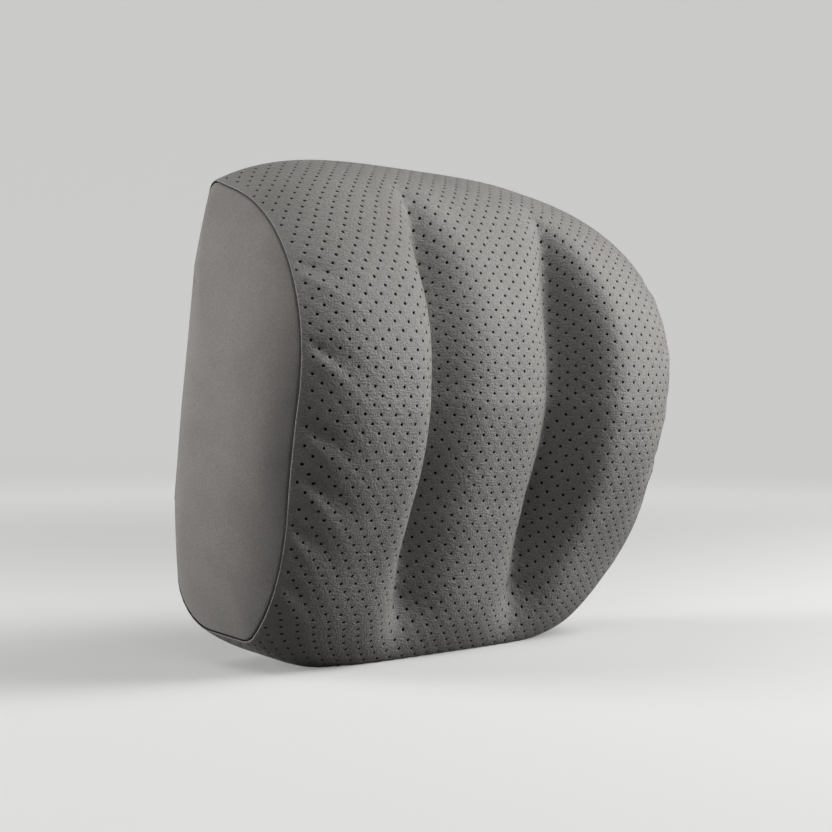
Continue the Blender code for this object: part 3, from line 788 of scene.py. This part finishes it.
tape, tree, shader, where = new_material("zip_tape", 0.85, Sheen_Weight=0.12, Specular_IOR_Level=0.25)
weave = add_group(tree, knitted, where, Columns=1500.0, Slant=2.0)
tint(tree, shader, weave.outputs["Height"], (0.018, 0.017, 0.017), (0.046, 0.044, 0.043), 0.0, 0.8)
bump(tree, shader, weave.outputs["Height"], 0.0002)

nylon, tree, shader, where = new_material("nylon", 0.34, Specular_IOR_Level=0.5)
drawn = put(tree, "ShaderNodeTexNoise", {"Vector": where, "Scale": 1800.0, "Detail": 2.0})
tint(tree, shader, drawn.outputs["Fac"], (0.04, 0.038, 0.036), (0.062, 0.06, 0.057))
bump(tree, shader, drawn.outputs["Fac"], 0.00003)

metal, tree, shader, where = new_material("zip_metal", 0.32, Metallic=1.0)
worn = put(tree, "ShaderNodeTexNoise", {"Vector": where, "Scale": 260.0, "Detail": 5.0, "Roughness": 0.6})
tint(tree, shader, worn.outputs["Fac"], (0.3, 0.29, 0.28), (0.44, 0.43, 0.41))
tree.links.new(remap(tree, worn.outputs["Fac"], 0.3, 0.7, 0.24, 0.42), shader.inputs["Roughness"])
bump(tree, shader, worn.outputs["Fac"], 0.00004)


def zip_strip(name, low, high, depth, material):
    """A strip of fabric behind the back panels, between two heights from the zip's middle."""
    low, high = up_back(ZIP_HEIGHT + low), up_back(ZIP_HEIGHT + high)
    bm = flat_grid(low, high, TAPE_COLUMNS, TAPE_ROWS, TAPE_EDGE)
    turn_edges(bm, low, high, TAPE_EDGE)
    for vert in bm.verts:
        vert.co.z -= depth
    strip = finish_sheet(name, bm, material)
    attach(strip, "pillow")
    return strip


lower_tape = zip_strip("woven_tape_lower", -TAPE_OUTER, -TAPE_INNER, TAPE_DEPTH, tape)
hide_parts("zip_tape_lower")
upper_tape = zip_strip("woven_tape_upper", TAPE_INNER, TAPE_OUTER, TAPE_DEPTH, tape)
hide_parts("zip_tape_upper")
zip_strip("zip_guard", -GUARD_HALF, GUARD_HALF, GUARD_DEPTH, knit)


def back_frame(across, stand_off=0.0):
    """The zip's own directions: X to -X along the zip, Y up the back, Z out of it."""
    spot = np.array(BACK_BOTTOM[:2]) + UPWARD * ZIP_HEIGHT + OUTWARD * (BACK_CROWN + stand_off)
    return Matrix(((-1, 0, 0, -across), (0, UPWARD[0], OUTWARD[0], spot[0]),
                   (0, UPWARD[1], OUTWARD[1], spot[1] - BASE_FLAT), (0, 0, 0, 1)))


def add_part(name, bm, place, material, smooth_angle, node, body):
    """Puts a small part on the back, with its faces out and its edges smoothed."""
    bmesh.ops.transform(bm, matrix=place, verts=bm.verts)
    bmesh.ops.recalc_face_normals(bm, faces=bm.faces)
    piece = new_object(name, bm, material)
    bpy.ops.object.select_all(action="DESELECT")
    bpy.context.view_layer.objects.active = piece
    piece.select_set(True)
    bpy.ops.object.shade_smooth_by_angle(angle=math.radians(smooth_angle))
    piece.select_set(False)
    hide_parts(node)
    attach(piece, body)


def coil(name, node, side):
    """One row of teeth: a flattened spiral of nylon thread, its heads towards the middle."""
    turns = int(2 * (ZIP_HALF - COIL_END) / COIL_PITCH)
    steps = turns * COIL_SEGMENTS
    middle = side * (COIL_INNER + COIL_OUTER) / 2
    half_wide = (COIL_OUTER - COIL_INNER) / 2 - COIL_WIRE
    half_high = COIL_THICK / 2 - COIL_WIRE
    start = (side > 0) / 2 - turns / 2 - 0.25  # the upper row's teeth lie between the lower row's
    rings = []
    bm = bmesh.new()
    points = []
    for step in range(steps + 1):
        angle = math.tau * step / COIL_SEGMENTS
        # The thread runs square to the tape on both faces and steps forward at its heels.
        ahead = start + step / COIL_SEGMENTS - COIL_LEAN * math.sin(angle)
        points.append(Vector((ahead * COIL_PITCH,
                              middle - side * half_wide * math.cos(angle),
                              -COIL_THICK / 2 + half_high * math.sin(angle))))
    for step, point in enumerate(points):
        before, after = points[max(step - 1, 0)], points[min(step + 1, steps)]
        way = (after - before).normalized()
        beside = way.cross(Vector((1, 0, 0))).normalized()
        over = way.cross(beside)
        ring = []
        for turn in range(WIRE_SEGMENTS):
            angle = math.tau * turn / WIRE_SEGMENTS
            out = beside * math.cos(angle) + over * math.sin(angle)
            ring.append(bm.verts.new(point + out * COIL_WIRE))
        rings.append(ring)
    bm.faces.new(rings[0])
    bm.faces.new(rings[-1])
    for ring, after in zip(rings, rings[1:]):
        join_rings(bm, ring, after)
    add_part(name, bm, back_frame(0.0), nylon, 80, node, "pillow")


coil("coil_lower", "zip_coil_lower", -1)
coil("coil_upper", "zip_coil_upper", 1)


def plate(bm, outline, low, high, bevel=METAL_BEVEL, segments=2):
    """Adds a flat part with this outline in X and Y, between two heights, its edges rounded."""
    base = [bm.verts.new((x, y, low)) for x, y in outline]
    top = [bm.verts.new((x, y, high)) for x, y in outline]
    faces = [bm.faces.new(base[::-1]), bm.faces.new(top)]
    join_rings(bm, base, top)
    edges = [edge for face in faces for edge in face.edges]
    bmesh.ops.bevel(bm, geom=edges, offset=bevel, segments=segments, profile=0.6, affect="EDGES",
                    clamp_overlap=True)


def rounded(x_range, y_range, radius, steps=5):
    """A rectangle with rounded corners, anticlockwise."""
    points = []
    for x, y, start in ((x_range[1], y_range[1], 0), (x_range[0], y_range[1], 90),
                        (x_range[0], y_range[0], 180), (x_range[1], y_range[0], 270)):
        middle = (x - math.copysign(radius, x - sum(x_range) / 2),
                  y - math.copysign(radius, y - sum(y_range) / 2))
        for k in range(steps + 1):
            angle = math.radians(start + 90 * k / steps)
            points.append((middle[0] + radius * math.cos(angle), middle[1] + radius * math.sin(angle)))
    return points


def zip_stop(name, node, start, low, high):
    """A crimp pressed over one or both rows of teeth."""
    bm = bmesh.new()
    x_range = (start, start + STOP_LENGTH)
    plate(bm, rounded(x_range, (low, high), STOP_RADIUS), 0.0, FIT_GAP + PLATE_THICK / 2)
    add_part(name, bm, back_frame(0.0), metal, 50, node, "pillow")


zip_stop("bottom_stop", "zip_bottom_stop", -ZIP_HALF, -COIL_OUTER, COIL_OUTER)
zip_stop("top_stop_lower", "zip_top_stop_lower", ZIP_HALF - STOP_LENGTH, -COIL_OUTER, -STOP_GAP)
zip_stop("top_stop_upper", "zip_top_stop_upper", ZIP_HALF - STOP_LENGTH, STOP_GAP, COIL_OUTER)


def slider_outline():
    """Plan of a slider's plate: wide where the rows part, with a shallow notch between them."""
    half, wide, narrow = SLIDER_LENGTH / 2, SLIDER_WIDTH / 2, 0.37 * SLIDER_WIDTH
    side = [(half - 0.0001, 0.0016), (half - 0.0012, wide - 0.0008), (half - 0.0024, wide - 0.0001),
            (half - 0.004, wide), (0.0, wide - 0.0005), (0.001 - half, narrow),
            (0.0003 - half, narrow - 0.0004), (-half, narrow - 0.0012)]
    return [(half - 0.0007, 0.0)] + side + [(x, -y) for x, y in reversed(side)]


def make_slider():
    """Two plates joined by a post, and a low arch over the pull's pin."""
    bm = bmesh.new()
    top = FIT_GAP + PLATE_THICK
    low_top = -BACK_THICK - FIT_GAP - TAPE_THICK - FIT_GAP
    under = top + PIN + 2 * FIT_GAP
    foot = top - BAIL_FOOT
    end = BAIL_LENGTH / 2
    leg = end - BAIL_THICK
    outer = [(-end, foot), (-end, top + 0.0005), (0.0004 - end, under + 0.0001),
             (0.0012 - end, under + BAIL_THICK - 0.0002), (0.0024 - end, under + BAIL_THICK)]
    inner = [(leg, foot), (leg, under - 0.0003), (leg - 0.0005, under)]
    arch = outer + [(-x, z) for x, z in reversed(outer)] + inner + [(-x, z) for x, z in reversed(inner)]
    plate(bm, arch, -BAIL_WIDTH / 2, BAIL_WIDTH / 2, 0.00018, 2)
    upright = Matrix.Rotation(math.radians(90), 3, "X")
    bmesh.ops.rotate(bm, verts=bm.verts, cent=(0, 0, 0), matrix=upright)
    plate(bm, slider_outline(), FIT_GAP, top, SLIDER_BEVEL, 3)
    plate(bm, slider_outline(), low_top - PLATE_THICK, low_top, SLIDER_BEVEL, 3)
    post_end = SLIDER_LENGTH / 2 - POST_INSET
    post = rounded((post_end - POST_LENGTH + 0.0006, post_end), (-POST_WIDTH / 2, POST_WIDTH / 2), 0.0002)
    plate(bm, post, low_top - PLATE_THICK / 2, FIT_GAP + PLATE_THICK / 2, 0.00005, 1)
    add_part("slider", bm, back_frame(SLIDER_AT), metal, 40, "zip_slider", "slider")


make_slider()


def make_pull():
    """A flat tab with a window around the slider's arch and a shallow dish in its grip."""
    half_pin, half_wide, half_thick = PIN / 2, PULL_WIDTH / 2, PULL_THICK / 2
    arm = (half_wide - BAIL_WIDTH / 2 - 2 * FIT_GAP) / 2 + FIT_GAP
    outer = rounded((half_pin - PULL_LENGTH, half_pin), (-half_wide, half_wide), 0.0016, 8)
    inner = rounded((-half_pin - WINDOW_LENGTH, -half_pin), (arm - half_wide, half_wide - arm), 0.0006, 8)
    grip = rounded((0.0022 - PULL_LENGTH, -half_pin - WINDOW_LENGTH - 0.0015),
                   (0.0013 - half_wide, half_wide - 0.0013), 0.0008, 8)
    bm = bmesh.new()

    def loop(outline, z, shrink=0.0):
        places = np.array(outline)
        low, high = places.min(axis=0), places.max(axis=0)
        middle = (low + high) / 2
        shrunk = middle + (places - middle) * (1 - 2 * shrink / (high - low))
        return [bm.verts.new((x, y, z)) for x, y in shrunk]

    for way in (-1, 1):
        face = way * half_thick
        edge = face - way * METAL_BEVEL
        rims = [loop(outer, 0.0), loop(outer, edge), loop(outer, face, METAL_BEVEL)]
        holes = [loop(inner, 0.0), loop(inner, edge), loop(inner, face, -METAL_BEVEL)]
        for loops in (rims, holes):
            for one, other in zip(loops, loops[1:]):
                join_rings(bm, one, other)
        dish = [loop(grip, face), loop(grip, face - way * GRIP_DEPTH, GRIP_SLOPE)]
        join_rings(bm, *dish)
        bm.faces.new(dish[1])
        edges = []
        for ring in (rims[2], holes[2], dish[0]):
            edges += [bm.edges.get((ring[k], ring[(k + 1) % len(ring)])) for k in range(len(ring))]
        bmesh.ops.triangle_fill(bm, use_beauty=True, edges=edges, normal=(0, 0, way))
    bmesh.ops.remove_doubles(bm, verts=bm.verts, dist=0.00001)
    pivot = FIT_GAP + PLATE_THICK + FIT_GAP + PIN / 2
    add_part("pull", bm, back_frame(SLIDER_AT, pivot), metal, 35, "zip_pull", "pull")


make_pull()


# Strap. A band of woven elastic, ribbed along its length, that holds the pillow to a headrest.
# It lies across the upper back and both ends are sewn into the side seams.

STRAP_LOW = 0.111  # up the back from the bottom corner
STRAP_HIGH = 0.149
STRAP_TOP = 0.0017  # the strap's outer face above the back panel
STRAP_THICK = 0.0014
STRAP_RIBS = 17
RIB_DEPTH = 0.00038
STRAP_END = 0.01  # over which each end sinks into its seam
STRAP_END_DEPTH = 0.0024
STRAP_COLUMNS = 120
STRAP_CROWDING = 1.15  # how much closer the columns lie at the ends
STRAP_EDGE_RADIUS = 0.0007
STRAP_OVERLAP = 0.0002  # into a side seam
RIB_STEPS = 6
RIB_FULLNESS = 0.6

elastic, tree, shader, where = new_material("elastic", 0.8, Sheen_Weight=0.15, Specular_IOR_Level=0.3)
weave = add_group(tree, knitted, where, Columns=1150.0, Slant=1.0)
tint(tree, shader, weave.outputs["Height"], (0.013, 0.0125, 0.012), (0.034, 0.033, 0.032), 0.0, 0.8)
bump(tree, shader, weave.outputs["Height"], 0.00025)


def make_strap():
    """The strap: a ribbed section repeated across the back, sinking into the seams."""
    low, high = up_back(STRAP_LOW), up_back(STRAP_HIGH)
    width = high - low
    section = []
    steps = STRAP_RIBS * RIB_STEPS
    for k in range(steps + 1):
        share = k / steps
        near_edge = 1 - min(min(share, 1 - share) * width / STRAP_EDGE_RADIUS, 1.0)
        round_off = STRAP_THICK / 2 * (1 - math.sqrt(1 - near_edge ** 2))
        rib = RIB_DEPTH * (abs(math.sin(math.pi * share * STRAP_RIBS)) ** RIB_FULLNESS - 1)
        section.append((low + share * width, STRAP_TOP + rib - round_off, round_off))
    bm = bmesh.new()
    rows = []
    half = float(half_sheet((low + high) / 2)) + STRAP_OVERLAP
    for column in range(STRAP_COLUMNS + 1):
        share = 2 * column / STRAP_COLUMNS - 1
        row = []
        across = half * math.copysign(1 - (1 - abs(share)) ** STRAP_CROWDING, share)
        sunk = STRAP_END_DEPTH * float(ease(1 - (half - abs(across)) / STRAP_END))
        for along, top, _ in section:
            row.append(bm.verts.new((across, along, top - sunk)))
        for along, top, round_off in reversed(section):
            row.append(bm.verts.new((across, along, STRAP_TOP - STRAP_THICK + round_off * 0.9 - sunk)))
        rows.append(row)
    for row, after in zip(rows, rows[1:]):
        join_rings(bm, row, after)
    bm.faces.new(rows[0])
    bm.faces.new(rows[-1])
    bmesh.ops.triangulate(bm, faces=[face for face in bm.faces if len(face.verts) > 4])
    strap = finish_sheet("elastic_strap", bm, elastic)
    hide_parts("headrest_strap")
    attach(strap, "pillow")


make_strap()


# Foam core. One moulded block of soft polyurethane foam, pushed in through the zip. It fills
# the cover and is pressed in behind the zip.

FOAM_DEPTH = 0.003
FOAM_SIDE_GAP = 0.0042  # from a side seam to the edge of the foam's end
FOAM_DOME = 0.0095  # bulge of each end
ZIP_RELIEF = 0.0016  # how far the foam is pressed in behind the zip
RELIEF_REACH = 0.0188889  # from the zip's middle to where that ends
FOAM_RUNS = 150
FOAM_COLUMNS = 96
FOAM_RINGS = 14

foam, tree, shader, where = new_material("foam", 0.95, Specular_IOR_Level=0.1)
pores = add_group(tree, soft_grain, where, Scale=750.0, Pebble=0.85, Drift=18.0)
tint(tree, shader, pores.outputs["Shade"], (0.7, 0.64, 0.48), (0.8, 0.75, 0.6))
bump(tree, shader, pores.outputs["Height"], 0.0006)


def make_foam():
    """The block: the cover's form moved in, closed by a low dome at each end."""
    runs = np.linspace(0.0, outline_run[-1], FOAM_RUNS, endpoint=False)
    inner = HALF_WIDTH - FOAM_SIDE_GAP
    across = np.linspace(-1, 1, FOAM_COLUMNS + 1) * inner
    columns, rows = np.meshgrid(across, runs)
    spots = surface(columns, rows)
    over = surface(columns + OUTLINE_STEP, rows) - surface(columns - OUTLINE_STEP, rows)
    later = np.roll(spots, -1, axis=0) - np.roll(spots, 1, axis=0)
    out = np.cross(later, over)
    out /= np.linalg.norm(out, axis=2)[..., None]
    spots = spots - out * FOAM_DEPTH
    spots[..., 2] = np.maximum(spots[..., 2], FOAM_DEPTH)
    up = np.array(spots[..., 1:]) - (BACK_BOTTOM[0], BACK_BOTTOM[1] - BASE_FLAT)
    behind = ease(1 - np.abs(up @ UPWARD - ZIP_HEIGHT) / RELIEF_REACH) * (rows > lower_hem)
    spots[..., 1:] -= (clamp(behind * 2) * ZIP_RELIEF)[..., None] * OUTWARD
    bm = bmesh.new()
    grid = [[bm.verts.new(spot) for spot in row] for row in spots]
    count = len(grid)
    for k in range(count):
        after = (k + 1) % count
        for c in range(FOAM_COLUMNS):
            bm.faces.new((grid[k][c], grid[after][c], grid[after][c + 1], grid[k][c + 1]))
    for side, column in ((-1, 0), (1, FOAM_COLUMNS)):
        ring = spots[:, column]
        middle = ring.mean(axis=0)
        outer = [row[column] for row in grid]
        for step in range(1, FOAM_RINGS):
            share = 1 - step / FOAM_RINGS
            points = middle + (ring - middle) * share
            points[:, 0] += side * FOAM_DOME * (1 - share ** DOME_FULLNESS)
            points[:, 0] += (ring[:, 0] - middle[0]) * (1 - share)
            made = [bm.verts.new(point) for point in points]
            join_rings(bm, outer, made)
            outer = made
        close_ring(bm, outer, bm.verts.new(middle + (side * FOAM_DOME, 0, 0)))
    bmesh.ops.recalc_face_normals(bm, faces=bm.faces)
    block = new_object("foam_block", bm, foam)
    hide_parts("foam_core")
    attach(block, "pillow")


make_foam()


# Studio. A dish of pale paper and five square lamps: one at each side, one above each side and
# a weak one above the camera. The camera stands off the left front corner, level with the middle
# of the pillow.

CAMERA_SPOT = (-0.5462, -0.5493, 0.1117)
CAMERA_YAW = 44.88
CAMERA_PITCH = -0.107
CAMERA_LENS = 70.5
DISH_FLOOR = 2.4  # radius of the flat floor
DISH_CURVE = 1.4  # radius of its curve up to the wall
DISH_WALL = 3.5  # height of the wall
DISH_STEPS = 12
PAPER_SEEN = (0.5, 0.5, 0.495, 1.0)
PAPER_LIT = (0.15, 0.15, 0.15, 1.0)
LIFT_START = 0.35  # from the pillow, where the paper begins to lighten
LIFT_END = 1.6
LIFT_NEAR = 0.22
LIFT_FAR = 0.56
LAMP_SIZE = 0.6
LAMP_AIM = (0.0, -0.01, 0.11)

camera_data = bpy.data.cameras.new("camera")
camera_data.lens = CAMERA_LENS
camera_data.sensor_width = 36.0
camera = bpy.data.objects.new("camera", camera_data)
bpy.context.scene.collection.objects.link(camera)
camera.location = CAMERA_SPOT
camera.rotation_euler = (math.radians(90 + CAMERA_PITCH), 0.0, math.radians(-CAMERA_YAW))
bpy.context.scene.camera = camera

view_way = Vector((math.sin(math.radians(CAMERA_YAW)), math.cos(math.radians(CAMERA_YAW)), 0.0))
view_right = Vector((view_way.y, -view_way.x, 0.0))


def softbox(name, right, toward, up, power):
    """A square lamp, this far to the right of the pillow, towards the camera and above it."""
    data = bpy.data.lights.new(name, "AREA")
    data.size = LAMP_SIZE
    data.energy = power
    lamp = bpy.data.objects.new(name, data)
    bpy.context.scene.collection.objects.link(lamp)
    middle = Vector(LAMP_AIM)
    lamp.location = middle + view_right * right - view_way * toward + Vector((0.0, 0.0, up))
    lamp.rotation_euler = (middle - lamp.location).to_track_quat("-Z", "Y").to_euler()
    lamp.visible_camera = False


softbox("left_lamp", -1.1, 0.06, 0.08, 12.8)
softbox("upper_left_lamp", -0.75, 0.15, 0.85, 3.2)
softbox("right_lamp", 1.1, -0.15, 0.3, 11.6)
softbox("upper_right_lamp", 0.75, 0.1, 0.85, 8.0)
softbox("front_lamp", 0.0, 0.9, 0.75, 2.2)

world = bpy.data.worlds.new("studio")
world.use_nodes = True
bpy.context.scene.world = world
world.node_tree.nodes["Background"].inputs["Color"].default_value = (0.8, 0.8, 0.8, 1.0)
world.node_tree.nodes["Background"].inputs["Strength"].default_value = 0.02

bm = bmesh.new()
profile = [(0.0, 0.0), (DISH_FLOOR, 0.0)]
for step in range(1, DISH_STEPS + 1):
    angle = math.radians(90 * step / DISH_STEPS)
    profile.append((DISH_FLOOR + DISH_CURVE * math.sin(angle), DISH_CURVE * (1 - math.cos(angle))))
profile.append((DISH_FLOOR + DISH_CURVE, DISH_WALL))
verts = [bm.verts.new((radius, 0.0, height)) for radius, height in profile]
edges = [bm.edges.new(pair) for pair in zip(verts, verts[1:])]
bmesh.ops.spin(bm, geom=verts + edges, cent=(0, 0, 0), axis=(0, 0, 1), angle=math.tau, steps=96,
               use_merge=True)
bmesh.ops.remove_doubles(bm, verts=bm.verts, dist=0.0001)
face_way(bm, (0, 0, 1))

# The paper looks pale to the camera only, so that it throws little light back on the pillow. It
# lightens with distance, to an even backdrop.
paper, tree, shader, where = new_material("paper", 0.9, Specular_IOR_Level=0.1)
seen = put(tree, "ShaderNodeLightPath").outputs["Is Camera Ray"]
shown = put(tree, "ShaderNodeMix", {"Factor": seen, 6: PAPER_LIT, 7: PAPER_SEEN}, data_type="RGBA")
tree.links.new(shown.outputs[2], shader.inputs["Base Color"])
away = put(tree, "ShaderNodeVectorMath", {0: where}, operation="LENGTH").outputs["Value"]
lift = remap(tree, away, LIFT_START, LIFT_END, LIFT_NEAR, LIFT_FAR, interpolation_type="SMOOTHSTEP")
tree.links.new(maths(tree, "MULTIPLY", seen, lift), shader.inputs["Emission Strength"])
shader.inputs["Emission Color"].default_value = (1.0, 1.0, 0.99, 1.0)
new_object("floor", bm, paper)

bpy.context.scene.view_settings.view_transform = "Standard"
